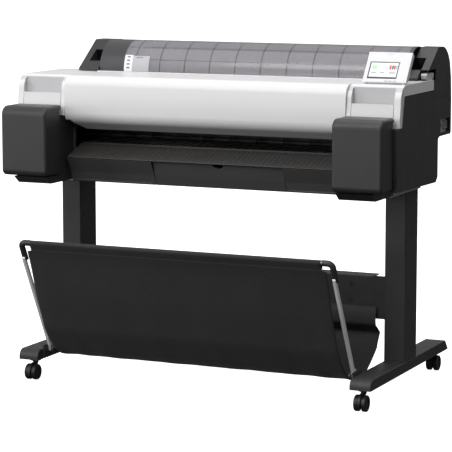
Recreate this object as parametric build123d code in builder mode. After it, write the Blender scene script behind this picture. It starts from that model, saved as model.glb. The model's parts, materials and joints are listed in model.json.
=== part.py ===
from build123d import *
import os
from math import atan2, cos, degrees, radians, sin

# Large format plotter on a stand with a catch basket.
# Millimetres, +X to the right of a person facing the printer, +Z up, front towards -Y.
# The origin is on the floor, midway between the sides and midway between basket rod and rear feet.

os.makedirs("parts", exist_ok=True)

# ---- driving dimensions ----------------------------------------------------------------
HALF_WIDTH = 645.0          # outer faces of the side covers
COVER_HALF = 475.0          # half length of the top cover, between the end covers
WALL = 3.0                  # plastic wall
PLATE = 3.0                 # steel plate

FLOOR_TO_FOOT = 67.0
FOOT_TOP = 100.0
FOOT_INNER, FOOT_OUTER = 529.0, 597.0
FOOT_FRONT, FOOT_REAR = -296.0, 424.0
POST_FRONT, POST_REAR = 1.0, 112.0
POST_TOP = 628.0
POST_HOLE = 3.3             # clearance for M6
BEAM_BOTTOM, BEAM_TOP, BEAM_FRONT = 232.0, 359.0, 25.0

WHEEL_RADIUS = 25.0
WHEEL_WIDTH = 14.0
WHEEL_SPACING = 24.0
CASTER_X = 560.0
CASTER_TRAIL = 18.0
CASTER_STEMS = {"front": -254.0, "rear": 371.0}
CASTER_DIRECTION = {"front": -1, "rear": 1}

BODY_BOTTOM = 628.0
DECK = 968.0                # top of the white covers
PLATEN_TOP = 751.0
SEAM = 909.0                # between the side cover and the roll housing
DECK_REAR = 107.0           # rear edge of the white decks

POCKET_IN, POCKET_OUT = 489.0, 625.0
POCKET_LIP = 913.0          # top edge of the panel in the pocket's mouth
POCKET_BACK = -172.0

TANK_IN, TANK_OUT = 477.0, 635.0
TANK_FRONT, TANK_BACK = -324.0, -232.0
TANK_BOTTOM, TANK_TOP = 659.0, 876.5
TANK_PIVOT = (-225.5, 868.0)

ROLL_AXIS = (132.0, 965.0)
ROLL_RADIUS = 73.0
ROLL_LEFT, ROLL_RIGHT = -350.0, 457.0
FLANGE_RADIUS = 84.0
ROLL_COVER_CENTRE = (130.0, 970.0)
ROLL_COVER_RADIUS = 97.5
ROLL_COVER_PIVOT = (262.0, 919.0)
BAY_LEFT, BAY_RIGHT = -472.0, 588.0
HOUSING_LEFT, HOUSING_RIGHT = -543.0, 645.0

COVER_PIVOT = (4.0, 958.0)
HATCH_PIVOT = (-138.0, 637.0)
HATCH_LEFT, HATCH_RIGHT = -178.0, 262.0
HATCH_GAP = 1.8

PANEL_LEFT, PANEL_RIGHT = 503.0, 641.0
PANEL_PIVOT = (-124.5, 979.5)
PANEL_FOOT = (-142.0, 972.0)
PANEL_HEAD = (-78.0, 1060.0)
PANEL_LUGS = (509.0, 629.0)
SCREEN = (93.0, 59.0, 2.0)

LEVER_PIVOT = (92.0, 948.0)
PORTS_X = 630.0             # face of the connector panel

ROD = (-412.0, 463.0)
ROD_RADIUS = 7.0
ROD_HALF = 499.0
ELBOW_RADIUS = 9.5
ELBOW_BEND = 16.0           # radius of the elbow's centre line
ELBOW_REACH = 63.0          # from the rod down the arm
ARM_X = 518.0
ARM_TOP = (-393.0, 411.0)
ARM_WIDTH, ARM_THICKNESS = 12.0, 9.0
BASKET_PIVOT = (-227.0, 95.0)
CLOTH = 2.5
CLOTH_HALF = 498.0
HEM_HALF = 484.0
HEM_RADIUS = 10.0

FEED_AXIS = (62.0, 734.0)
FEED_RADIUS = 17.0
PINCH_AXIS = (62.0, 759.0)
PINCH_RADIUS = 7.0
CARRIAGE_X = 522.0
CARRIAGE_WIDTH = 120.0


# ---- helpers ---------------------------------------------------------------------------
def write(part, label):
    """Give a finished piece its name and write its STEP file."""
    part.label = label
    export_step(part, f"parts/{label}.step")


def block(x0, x1, y0, y1, z0, z1, mode=Mode.ADD):
    """Box between two corners, in the part being built."""
    with Locations(((x0 + x1) / 2, (y0 + y1) / 2, (z0 + z1) / 2)):
        Box(abs(x1 - x0), abs(y1 - y0), abs(z1 - z0), mode=mode)


def rod_x(x0, x1, axis, radius, mode=Mode.ADD):
    """Cylinder along X between two planes, about a (y, z) axis."""
    with Locations(((x0 + x1) / 2, axis[0], axis[1])):
        Cylinder(radius, abs(x1 - x0), rotation=(0, 90, 0), mode=mode)


def rod_z(x, y, z0, z1, radius, mode=Mode.ADD):
    """Upright cylinder between two heights."""
    with Locations((x, y, (z0 + z1) / 2)):
        Cylinder(radius, abs(z1 - z0), mode=mode)


def side_face(x, *points):
    """Closed straight-edged outline in the Y-Z plane at x."""
    with BuildSketch(Plane.YZ.offset(x)) as face:
        with BuildLine():
            Polyline(*points, close=True)
        make_face()
    return face.sketch


def side_prism(x0, x1, *points, mode=Mode.ADD):
    """Straight-edged Y-Z outline carried from x0 to x1."""
    extrude(side_face(min(x0, x1), *points), amount=abs(x1 - x0), dir=(1, 0, 0), mode=mode)


def bent_sheet(x0, x1, thickness, path, side=Side.LEFT):
    """Sheet that follows an open Y-Z path, thickened to one side of its direction of travel."""
    with BuildSketch(Plane.YZ.offset(min(x0, x1))) as face:
        with BuildLine():
            add(path)
            offset(amount=thickness, side=side, kind=Kind.INTERSECTION)
        make_face()
    extrude(face.sketch, amount=abs(x1 - x0), dir=(1, 0, 0))


def filled(x0, x1, path, *closing, mode=Mode.ADD):
    """Solid between x0 and x1 inside an open Y-Z path and the straight lines that close it."""
    with BuildSketch(Plane.YZ.offset(min(x0, x1))) as face:
        with BuildLine():
            add(path)
            Polyline(path @ 1, *closing, path @ 0)
        make_face()
    extrude(face.sketch, amount=abs(x1 - x0), dir=(1, 0, 0), mode=mode)


def on_circle(centre, radius, degrees):
    """Point on a circle in the Y-Z plane; 0 degrees is +Y and 90 is up."""
    return (centre[0] + radius * cos(radians(degrees)), centre[1] + radius * sin(radians(degrees)))


# ---- stand -----------------------------------------------------------------------------
def build_foot(side):
    inner, outer = side * FOOT_INNER, side * FOOT_OUTER
    low, high = min(inner, outer), max(inner, outer)
    nose = 24.0
    with BuildPart() as foot:
        with BuildSketch(Plane.YZ.offset(low)):
            with BuildLine():
                start = (FOOT_FRONT, FOOT_TOP - nose)
                end = (FOOT_FRONT + nose, FOOT_TOP)
                middle = on_circle((end[0], start[1]), nose, 135)
                ThreePointArc(start, middle, end)
                Polyline(end, (FOOT_REAR - 28, FOOT_TOP), (FOOT_REAR, FLOOR_TO_FOOT + 2))
                Line((FOOT_REAR, FLOOR_TO_FOOT + 2), (FOOT_REAR, FLOOR_TO_FOOT))
                Line((FOOT_REAR, FLOOR_TO_FOOT), (FOOT_FRONT, FLOOR_TO_FOOT))
                Line((FOOT_FRONT, FLOOR_TO_FOOT), start)
            make_face()
        extrude(amount=high - low)
        fillet(foot.faces().sort_by(Axis.Z)[-1].edges().filter_by(Axis.Y), 3)
        block(low + PLATE, high - PLATE, FOOT_FRONT + 20, FOOT_REAR - 30,
              FLOOR_TO_FOOT, FOOT_TOP - PLATE, mode=Mode.SUBTRACT)
        for stem_y in CASTER_STEMS.values():
            block(low + PLATE, high - PLATE, stem_y - 24, stem_y + 22, FLOOR_TO_FOOT, FLOOR_TO_FOOT + 4)
            rod_z(side * CASTER_X, stem_y, FLOOR_TO_FOOT - 1, FLOOR_TO_FOOT + 5, 5.55, mode=Mode.SUBTRACT)
    return foot.part


def build_post(side):
    inner, outer = side * FOOT_INNER, side * FOOT_OUTER
    low, high = min(inner, outer), max(inner, outer)
    with BuildPart() as post:
        block(low, high, POST_FRONT, POST_REAR, FOOT_TOP, POST_TOP)
        fillet(post.edges().filter_by(Axis.Z), 4)
        block(low + PLATE, high - PLATE, POST_FRONT + PLATE, POST_REAR - PLATE,
              FOOT_TOP, POST_TOP, mode=Mode.SUBTRACT)
        # accessory holes in the inner face: two columns, three rows
        for y in (24.0, 96.0):
            for z in (403.0, 497.0, 597.0):
                rod_x(inner - side, inner + side * (PLATE + 1), (y, z), POST_HOLE, mode=Mode.SUBTRACT)
        # base flange, bolted to the foot
        block(low + 8, high - 8, POST_REAR, POST_REAR + 22, FOOT_TOP, FOOT_TOP + 4)
        block(low + 8, high - 8, POST_FRONT - 22, POST_FRONT, FOOT_TOP, FOOT_TOP + 4)
    return post.part


def build_cross_beam():
    half = 483.0
    depth = 60.0
    with BuildPart() as beam:
        block(-half, half, BEAM_FRONT, BEAM_FRONT + depth, BEAM_BOTTOM, BEAM_TOP)
        block(-half, half, BEAM_FRONT + PLATE, BEAM_FRONT + depth + 1,
              BEAM_BOTTOM + PLATE, BEAM_TOP - PLATE, mode=Mode.SUBTRACT)
        fillet(beam.faces().sort_by(Axis.Y)[0].edges().filter_by(Axis.X), 2.5)
        for side in (-1, 1):
            # end bracket: front plate, and a tab against the post's inner face
            block(side * (half + 0.6), side * (FOOT_INNER - 0.2), BEAM_FRONT - 1, BEAM_FRONT + 2,
                  BEAM_BOTTOM - 6, BEAM_TOP + 2)
            block(side * (FOOT_INNER - 3.2), side * (FOOT_INNER - 0.2), BEAM_FRONT + 2, BEAM_FRONT + 56,
                  BEAM_BOTTOM - 6, BEAM_TOP + 2)
    return beam.part


def build_stand_screws():
    head = 5.0
    with BuildPart() as screws:
        for side in (-1, 1):
            for z in (280.0, 332.0):
                with Locations(Location((side * 409, BEAM_FRONT - 1.2, z), (90, 0, 0))):
                    Cylinder(head, 2.4)
                    Cylinder(2.2, 4, mode=Mode.SUBTRACT)
            for y in (POST_FRONT - 13, POST_REAR + 13):
                with Locations((side * (FOOT_INNER + 34), y, FOOT_TOP + 5.5)):
                    Cylinder(head, 3)
    return screws.part


def build_basket_brackets():
    """Brackets on the feet, with the pivot pins and round end caps of the basket arms."""
    with BuildPart() as brackets:
        for side in (-1, 1):
            block(side * (FOOT_INNER - 4.5), side * (FOOT_INNER - 0.2), -262, -192, 70, 112)
            rod_x(side * (ARM_X - 8), side * (FOOT_INNER - 4.5), BASKET_PIVOT, 4.0)
            rod_x(side * (ARM_X - 14), side * (ARM_X - 6), BASKET_PIVOT, 13.0)
            rod_x(side * (ARM_X + 5.2), side * (FOOT_INNER - 4.5), BASKET_PIVOT, 13.0)
    return brackets.part


# ---- casters ---------------------------------------------------------------------------
def build_caster_fork(side, end):
    x, stem_y = side * CASTER_X, CASTER_STEMS[end]
    hub = (stem_y + CASTER_DIRECTION[end] * CASTER_TRAIL, WHEEL_RADIUS)
    hood = WHEEL_RADIUS + 4
    web = WHEEL_SPACING - WHEEL_WIDTH - 2.0
    with BuildPart() as fork:
        rod_x(x - web / 2, x + web / 2, hub, hood)
        block(x - web, x + web, hub[0] - 60, hub[0] + 60, -10, 14, mode=Mode.SUBTRACT)
        rod_x(x - web, x + web, hub, 3.05, mode=Mode.SUBTRACT)
        block(x - web / 2, x + web / 2, stem_y - 8, stem_y + 8, 35, 53)
        rod_z(x, stem_y, 51, FLOOR_TO_FOOT - 0.6, 9)
        rod_z(x, stem_y, FLOOR_TO_FOOT - 8, FLOOR_TO_FOOT - 0.6, 17)
        rod_z(x, stem_y, FLOOR_TO_FOOT - 1, FLOOR_TO_FOOT + 9, 5.45)
    return fork.part


def build_caster_wheels(side, end):
    x, stem_y = side * CASTER_X, CASTER_STEMS[end]
    hub = (stem_y + CASTER_DIRECTION[end] * CASTER_TRAIL, WHEEL_RADIUS)
    with BuildPart() as wheels:
        for wheel in (-1, 1):
            centre = x + wheel * WHEEL_SPACING / 2
            rod_x(centre - WHEEL_WIDTH / 2, centre + WHEEL_WIDTH / 2, hub, WHEEL_RADIUS)
        fillet(wheels.edges().filter_by(GeomType.CIRCLE), 3)
        for wheel in (-1, 1):
            outer = x + wheel * (WHEEL_SPACING + WHEEL_WIDTH) / 2
            rod_x(outer - wheel * 2.5, outer + wheel, hub, 16, mode=Mode.SUBTRACT)
        reach = (WHEEL_SPACING + WHEEL_WIDTH) / 2 - 2.0
        rod_x(x - reach, x + reach, hub, 3.0)
    return wheels.part


# ---- basket ----------------------------------------------------------------------------
def arm_sketch(x, start, end, width):
    """Straight bar with round ends between two points of the Y-Z plane."""
    middle = ((start[0] + end[0]) / 2, (start[1] + end[1]) / 2)
    direction = Vector(end[0] - start[0], end[1] - start[1])
    angle = degrees(atan2(direction.Y, direction.X))
    with BuildSketch(Plane.YZ.offset(x)) as bar:
        with Locations(Location((middle[0], middle[1], 0), (0, 0, angle))):
            SlotCenterToCenter(direction.length, width)
    return bar.sketch


def arm_direction():
    """Unit (y, z) direction down an arm, from its top to the pivot."""
    return Vector(BASKET_PIVOT[0] - ARM_TOP[0], BASKET_PIVOT[1] - ARM_TOP[1]).normalized()


def down_arm(distance):
    """(y, z) point on the arm's line, measured from the rod."""
    way = arm_direction()
    return (ROD[0] + way.X * distance, ROD[1] + way.Y * distance)


def build_basket_arms():
    half = ARM_THICKNESS / 2
    with BuildPart() as arms:
        for side in (-1, 1):
            low = side * ARM_X - half
            extrude(arm_sketch(low, ARM_TOP, BASKET_PIVOT, ARM_WIDTH), amount=ARM_THICKNESS, dir=(1, 0, 0))
            extrude(arm_sketch(low, BASKET_PIVOT, down_arm(400), 16), amount=ARM_THICKNESS, dir=(1, 0, 0))
            rod_x(low - 1, low + ARM_THICKNESS + 1, BASKET_PIVOT, 4.1, mode=Mode.SUBTRACT)
    return arms.part


def build_basket_rod():
    with BuildPart() as rod:
        rod_x(-ROD_HALF, ROD_HALF, ROD, ROD_RADIUS)
    return rod.part


def build_elbow(side):
    """Bent tube from the end of the rod round to the top of the arm."""
    way = arm_direction()
    start = Vector(side * (HEM_HALF + 3), *ROD)
    corner = Vector(side * ARM_X, *ROD)
    down = Vector(0, way.X, way.Y)
    inwards = Vector(-side, 0, 0)
    turn_in = corner + inwards * ELBOW_BEND
    turn_out = corner + down * ELBOW_BEND
    middle = corner + (inwards + down) * (ELBOW_BEND * (1 - sin(radians(45))))
    with BuildPart() as elbow:
        with BuildLine() as path:
            Line(start, turn_in)
            ThreePointArc(turn_in, middle, turn_out)
            Line(turn_out, corner + down * ELBOW_REACH)
        with BuildSketch(Plane(origin=start, z_dir=(side, 0, 0))):
            Circle(ELBOW_RADIUS)
        sweep(path=path.wire())
        rod_x(side * (HEM_HALF + 2), side * (ROD_HALF + 0.2), ROD, ROD_RADIUS + 0.1, mode=Mode.SUBTRACT)
        low = side * ARM_X - ARM_THICKNESS / 2
        extrude(arm_sketch(low, ARM_TOP, BASKET_PIVOT, ARM_WIDTH), amount=ARM_THICKNESS, dir=(1, 0, 0),
                mode=Mode.SUBTRACT)
    return elbow.part


def build_basket_elbows():
    return Compound(children=[build_elbow(-1), build_elbow(1)])


def build_front_cloth():
    sheet = ((-413, 452), (-397, 408), (-375, 345), (-354, 286), (-321, 211), (-252, 113))
    with BuildPart() as cloth:
        with BuildSketch(Plane.YZ.offset(-CLOTH_HALF)):
            with BuildLine():
                front = Spline(*sheet)
                back = Spline(*[(y + CLOTH, z + CLOTH / 2) for y, z in sheet])
                Line(front @ 0, back @ 0)
                Line(front @ 1, back @ 1)
            make_face()
        extrude(amount=2 * CLOTH_HALF)
        # the hem is narrower than the sheet, so that the elbows have room
        for side in (-1, 1):
            block(side * HEM_HALF, side * (CLOTH_HALF + 1), -430, -380, 437, 480, mode=Mode.SUBTRACT)
        rod_x(-HEM_HALF, HEM_HALF, ROD, HEM_RADIUS + 1)
        rod_x(-HEM_HALF - 1, HEM_HALF + 1, ROD, ROD_RADIUS + 0.2, mode=Mode.SUBTRACT)
    return cloth.part


def build_rear_cloth():
    half = 502.0
    with BuildPart() as cloth:
        with BuildSketch(Plane.YZ.offset(-half)):
            with BuildLine():
                bottom = ((-242, 102), (-201, 79), (-155, 66), (-105, 61), (-45, 87), (20, 128))
                lower = Spline(*bottom)
                upper = Spline(*[(y, z + CLOTH) for y, z in bottom])
                Line(lower @ 0, upper @ 0)
                Polyline(lower @ 1, (55, 179), (14, 212), (14, 243), (21.5, 262))
                Polyline(upper @ 1, (51, 179), (11, 210.5), (11, 243), (21.5, 266))
                Line((21.5, 262), (21.5, 266))
            make_face()
        extrude(amount=2 * half)
    return cloth.part


# ---- printer frame ---------------------------------------------------------------------
def build_base_frame():
    half = 596.0
    front, rear, rim = -125.0, 136.0, 690.0
    with BuildPart() as frame:
        block(-half, half, front, rear, BODY_BOTTOM, rim)
        block(-half + PLATE, half - PLATE, front + PLATE, rear - PLATE,
              BODY_BOTTOM + PLATE, rim + 1, mode=Mode.SUBTRACT)
        for side in (-1, 1):
            side_prism(side * (half - PLATE), side * half,
                       (-100, rim), (110, rim), (110, 880), (60, 930), (-60, 930), (-100, 890))
            rod_x(side * (half - 4), side * (half + 1), FEED_AXIS, 6.1, mode=Mode.SUBTRACT)
            rod_x(side * (half - 4), side * (half + 1), PINCH_AXIS, 3.1, mode=Mode.SUBTRACT)
    return frame.part


def build_platen():
    half = 470.0
    front, rear = -92.0, 43.0
    with BuildPart() as platen:
        block(-half, half, front, rear, 705, PLATEN_TOP - 2)
        block(-half + 3, half - 3, front + 3, rear - 3, 704, PLATEN_TOP - 5, mode=Mode.SUBTRACT)
        rib_count = 36
        pitch = 2 * (half - 10) / (rib_count - 1)
        with Locations((0, (front + rear) / 2, PLATEN_TOP - 1)):
            with GridLocations(pitch, 1, rib_count, 1):
                Box(2.5, rear - front, 2)
        # legs down to the base tray
        for x in (-440, -150, 150, 440):
            block(x - 8, x + 8, front + 3, front + 9, BODY_BOTTOM + PLATE, 746)
            block(x - 8, x + 8, rear - 9, rear - 3, BODY_BOTTOM + PLATE, 746)
    return platen.part


def build_output_guide():
    half = 474.0
    rear, front = (-94.0, 744.0), (-187.0, 712.0)
    rib_count = 60
    pitch = 2 * (half - 12) / (rib_count - 1)
    with BuildPart() as guide:
        side_prism(-half, half, rear, front, (-187, 709), (-176, 709.5), (-97, 736.5), (-94, 738))
        for index in range(rib_count):
            x = -half + 12 + index * pitch
            side_prism(x - 1, x + 1, (rear[0] - 3, rear[1] - 1), (front[0] + 6, front[1]),
                       (front[0] + 6, front[1] + 2.8), (rear[0] - 3, rear[1] - 0.2))
        # arms back to the base tray's front wall
        for x in (-420, -140, 140, 420):
            side_prism(x - 4, x + 4, (-100, 737.5), (-97, 706), (-112, 690), (-124, 690), (-128, 729))
    return guide.part


def fascia_path(top=(-186.5, 705.5)):
    with BuildLine() as path:
        Polyline((-146.5, 630), (-160, 662), top)
    return path.wire()


def build_front_fascia():
    with BuildPart() as fascia:
        for x0, x1 in ((-476, HATCH_LEFT - HATCH_GAP), (HATCH_RIGHT + HATCH_GAP, 476)):
            bent_sheet(x0, x1, WALL, fascia_path(), Side.RIGHT)
            block(x0 + 10, x1 - 10, -150, -126, 634, 637)
            block(x0 + 10, x1 - 10, -129, -126, 637, 660)
    return fascia.part


def build_front_hatch():
    notch_x, notch_half, notch_depth = 45.5, 20.0, 11.0
    notch_radius = (notch_half ** 2 + notch_depth ** 2) / (2 * notch_depth)
    with BuildPart() as hatch:
        # the upper edge is set back under the output guide
        bent_sheet(HATCH_LEFT, HATCH_RIGHT, WALL, fascia_path((-176, 705.5)), Side.RIGHT)
        with Locations(Location((notch_x, -175, 705.5 - notch_depth + notch_radius), (90, 0, 0))):
            Cylinder(notch_radius, 50, mode=Mode.SUBTRACT)
        for x in (HATCH_LEFT + 30, HATCH_RIGHT - 30):
            side_prism(x - 6, x + 6, (-148, 632), (-154, 648), (-136, 643), (-136, 632))
        rod_x(HATCH_LEFT + 4, HATCH_RIGHT - 4, HATCH_PIVOT, 4)
    return hatch.part


def build_carriage_rail():
    with BuildPart() as rail:
        block(-593, 593, 45, 85, 800, 870)
        block(-593, 593, 45 + PLATE, 86, 800 + PLATE, 870 - PLATE, mode=Mode.SUBTRACT)
        block(-593, 593, 41, 45, 845, 850)
    return rail.part


def build_carriage():
    left, right = CARRIAGE_X - CARRIAGE_WIDTH / 2, CARRIAGE_X + CARRIAGE_WIDTH / 2
    with BuildPart() as carriage:
        side_prism(left, right, (-62, 772), (-62, 850), (-40, 884), (36, 884), (36, 772))
        fillet(carriage.faces().sort_by(Axis.Z)[-1].edges(), 3)
        # print heads below, and the shoe that rides on the rail's lip
        for x in (left + 30, right - 30):
            block(x - 18, x + 18, -45, 15, 757, 772)
        block(left + 10, right - 10, 36, 44.2, 850.4, 856)
        block(left + 10, right - 10, 36, 44.2, 838, 844.6)
        rod_z(CARRIAGE_X, 20, 884, 891, 5)
    return carriage.part


def build_drive_belt():
    reach, radius, thickness = 573.0, 10.0, 1.6
    with BuildPart() as belt:
        with BuildSketch(Plane.XY.offset(894)):
            with Locations((0, 30)):
                SlotCenterToCenter(2 * reach, 2 * radius + 2 * thickness)
                SlotCenterToCenter(2 * reach, 2 * radius, mode=Mode.SUBTRACT)
        extrude(amount=7)
    return belt.part


def build_drive_motors():
    with BuildPart() as motors:
        # carriage motor on a bracket from the left end plate, its pulley inside the belt
        rod_z(-573, 30, 908, 945, 19)
        rod_z(-573, 30, 893, 908, 9.9)
        block(-593, -573, 12, 48, 905, 908)
        # idler pulley at the other end
        rod_z(573, 30, 893, 905, 9.9)
        block(573, 593, 12, 48, 905, 908)
        rod_z(573, 30, 905, 908, 9.9)
        # paper feed motor in the base tray
        rod_x(-560, -505, (30, 670), 24)
        block(-556, -509, 10, 50, BODY_BOTTOM + PLATE, 655)
    return motors.part


def build_control_board():
    with BuildPart() as board:
        block(250, 470, 50, 54, 640, 700)
        for x in (270, 450):
            block(x - 5, x + 5, 54, 64, 640, 660)
            block(x - 5, x + 5, 50, 64, BODY_BOTTOM + PLATE, 640)
        for x in (300, 340, 400):
            block(x - 12, x + 12, 46, 50, 655, 680)
    return board.part


def build_feed_roller():
    with BuildPart() as roller:
        rod_x(-466, 466, FEED_AXIS, FEED_RADIUS)
        rod_x(-595, 595, FEED_AXIS, 6.0)
    return roller.part


def build_pinch_rollers():
    with BuildPart() as pinch:
        rod_x(-595, 595, PINCH_AXIS, 3.0)
        for index in range(10):
            x = -414 + index * 92
            rod_x(x - 26, x + 26, PINCH_AXIS, PINCH_RADIUS)
    return pinch.part


# ---- white covers ----------------------------------------------------------------------
def top_cover_path():
    """Outer outline of the top cover, from its rear edge over the front to the underside."""
    with BuildLine() as path:
        deck = Line((9, DECK), (-165, DECK))
        brow = TangentArc(deck @ 1, (-200, 937.5), tangent=deck % 1)
        front = TangentArc(brow @ 1, (-201, 850), tangent=brow % 1)
        chin = TangentArc(front @ 1, (-177, 818), tangent=front % 1)
        Line(chin @ 1, (-115.5, 794.5))
    return path.wire()


def build_top_cover():
    half = COVER_HALF - 0.7
    rim = 3.0
    with BuildPart() as cover:
        bent_sheet(-half, half, WALL, top_cover_path())
        for side in (-1, 1):
            # stiff end rim, and the hinge arm with its stub pin
            bent_sheet(side * (half - rim), side * half, 14, top_cover_path())
            block(side * (half - 10), side * half, 0.5, 8, 958, DECK - 1)
            rod_x(side * (half - 10), side * (half + 3), COVER_PIVOT, 3.5)
        # the lower edge rises towards both ends
        with BuildSketch(Plane.XZ.offset(105)):
            for side in (-1, 1):
                with BuildLine():
                    Polyline((side * (half - 36), 790), (side * (half - 15), 829),
                             (side * (half + 1), 829), (side * (half + 1), 780), close=True)
                make_face()
        extrude(amount=115, mode=Mode.SUBTRACT)
    return cover.part


def end_cover_path():
    """Outer outline of an end cover, from its rear wall over the deck to the front."""
    with BuildLine() as path:
        rear = Line((DECK_REAR, 936), (DECK_REAR, DECK))
        deck = Line(rear @ 1, (-146, DECK))
        brow = TangentArc(deck @ 1, (-193, 925), tangent=deck % 1)
        front = TangentArc(brow @ 1, (-201, 870), tangent=brow % 1)
        Line(front @ 1, (-202, 843))
    return path.wire()


def build_end_cover(side):
    inner, outer = side * (COVER_HALF + 0.5), side * HALF_WIDTH
    pocket_in, pocket_out = side * POCKET_IN, side * POCKET_OUT
    with BuildPart() as cover:
        # pocket box, trimmed to the front curve
        block(pocket_in - side * 3, pocket_out + side * 3, -214, POCKET_BACK + 3, 880, 966)
        filled(inner, outer, end_cover_path(), mode=Mode.INTERSECT)
        block(pocket_in, pocket_out, -230, POCKET_BACK, 883, 963, mode=Mode.SUBTRACT)
        bent_sheet(inner, outer, WALL, end_cover_path())
        trim = ((-179, 843), (-161, 934.5), (-150, 936))
        filled(inner, inner + side * WALL, end_cover_path(), *trim)
        filled(outer - side * 3.5, outer, end_cover_path(), *trim)
        # pocket opening with rounded corners; its lower part takes the lip panel
        with BuildSketch(Plane.XZ.offset(-POCKET_BACK)):
            with Locations(((pocket_in + pocket_out) / 2, 892)):
                RectangleRounded(abs(pocket_out - pocket_in), 140, 9)
        extrude(amount=60, mode=Mode.SUBTRACT)
        rod_x(inner - side, inner + side * 4, COVER_PIVOT, 3.6, mode=Mode.SUBTRACT)
        if side > 0:
            # the roll bay takes the rear part of the right deck
            block(COVER_HALF, BAY_RIGHT, 16, DECK_REAR + 1, 930, 970, mode=Mode.SUBTRACT)
            block(BAY_RIGHT, BAY_RIGHT + 3, 16, DECK_REAR, 936, 966)
            # lugs that carry the operation panel
            for x in PANEL_LUGS:
                block(x - 3, x + 3, PANEL_PIVOT[0] - 6, PANEL_PIVOT[0] + 6, 966, PANEL_PIVOT[1])
                rod_x(x - 3, x + 3, PANEL_PIVOT, 6)
                rod_x(x - 4, x + 4, PANEL_PIVOT, 2.6, mode=Mode.SUBTRACT)
            # slot and inner bearing for the release lever
            block(621, 641.4, 30, 103.5, 930, 970, mode=Mode.SUBTRACT)
            block(617.5, 620.5, 76, 105, 937, 966)
            rod_x(617, 621, LEVER_PIVOT, 3.1, mode=Mode.SUBTRACT)
    return cover.part


def build_pocket_panels():
    with BuildPart() as panels:
        for side in (-1, 1):
            bent_sheet(side * (POCKET_IN + 1.8), side * (POCKET_OUT - 1.8), 2.5, end_cover_path())
        block(-HALF_WIDTH, HALF_WIDTH, -160, DECK_REAR + 1, 800, DECK + 1, mode=Mode.SUBTRACT)
        block(-HALF_WIDTH, HALF_WIDTH, -230, 0, POCKET_LIP, DECK + 1, mode=Mode.SUBTRACT)
    return panels.part


def build_top_deck():
    with BuildPart() as deck:
        block(BAY_LEFT + 0.5, BAY_RIGHT - 0.5, 16.5, 29.5, 955, DECK + 2.5)
        fillet(deck.faces().sort_by(Axis.Z)[-1].edges().filter_by(Axis.X), 2)
    return deck.part


# ---- dark covers -----------------------------------------------------------------------
def side_cover_face(x):
    return side_face(x, (-217, 654), (138, 648), (154, 664), (154, 781), (168, 788), (271, 788),
                     (277, 795), (277, SEAM), (111, SEAM), (111, 934), (-150.5, 934), (-160, 932.5),
                     (-178, 841.8), (-228, 841.8))


def build_side_cover(side):
    skin, rim, depth = 4.0, 3.0, 15.0
    outer = side * HALF_WIDTH
    inner = outer - side * depth
    low = min(inner, outer - side * skin)
    with BuildPart() as cover:
        extrude(side_cover_face(min(inner, outer)), amount=depth, dir=(1, 0, 0))
        hollow = offset(side_cover_face(low), amount=-rim, kind=Kind.INTERSECTION)
        extrude(hollow, amount=depth - skin, dir=(1, 0, 0), mode=Mode.SUBTRACT)
        # no rim at the rear, where the rear cover fits
        block(inner, outer - side * skin, 137, 280, 640, SEAM + 1, mode=Mode.SUBTRACT)
        # floor flange beside the base tray
        side_prism(side * 601, inner + side, (-212, 654.4), (136, 648.5), (136, 650.5), (-212, 656.4))
        if side < 0:
            # dark shelf behind the left deck
            block(-641, HOUSING_LEFT - 1, 108, 111, 906.5, 934)
            block(-641, HOUSING_LEFT - 1, 108, 276, 906.5, SEAM)
        else:
            # opening for the connector panel
            block(outer - 5, outer + 1, 176, 270, 796, 840, mode=Mode.SUBTRACT)
    return cover.part


def build_rear_cover():
    half = HALF_WIDTH - 4.5
    with BuildLine() as path:
        Polyline((139, 653), (153, 667), (153, 787), (276, 790), (276, 905.8))
    with BuildPart() as cover:
        bent_sheet(-half, half, WALL, path.wire())
        # opening for the power inlet, and rows of vents
        block(514, 554, 270, 280, 811, 841, mode=Mode.SUBTRACT)
        with Locations((-300, 274.5, 848)):
            with GridLocations(12, 1, 20, 1):
                Box(5, 8, 60, mode=Mode.SUBTRACT)
    return cover.part


def build_interface_panel():
    with BuildPart() as panel:
        block(PORTS_X - 2, PORTS_X, 172, 271, 794, 846)
        # flanges to the side cover's inner face
        block(PORTS_X, 640.6, 172, 174, 794, 846)
        block(PORTS_X, 640.6, 174, 271, 843, 845)
    return panel.part


def build_interface_sockets():
    with BuildPart() as sockets:
        for y, width, height in ((190, 16, 14), (207, 12, 11), (224, 14, 7), (246, 20, 24)):
            block(PORTS_X, PORTS_X + 9, y - width / 2, y + width / 2, 820 - height / 2, 820 + height / 2)
            block(PORTS_X + 2, PORTS_X + 10, y - width / 2 + 2, y + width / 2 - 2,
                  822 - height / 2, 818 + height / 2, mode=Mode.SUBTRACT)
        # power inlet in the rear cover
        block(515, 553, 258, 276.5, 812, 840)
        block(521, 547, 263, 277, 817, 835, mode=Mode.SUBTRACT)
        for x, z in ((527, 824), (541, 824), (534, 829)):
            block(x - 1, x + 1, 262, 272, z - 2.5, z + 2.5)
    return sockets.part


def roll_housing_face(x):
    with BuildSketch(Plane.YZ.offset(x)) as face:
        with BuildLine():
            Polyline((111.5, SEAM + 0.6), (111.5, 969.6), (25, 969.6), (25, 977), (143, 1062.5))
            brow = TangentArc((143, 1062.5), (152, 1065), tangent=(118, 85.5))
            Line(brow @ 1, (196, 1065))
            ThreePointArc((196, 1065), (241, 1041), (263, 1004))
            Polyline((263, 1004), (272, 965), (276, SEAM + 0.6), (111.5, SEAM + 0.6))
        make_face()
    return face.sketch


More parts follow.
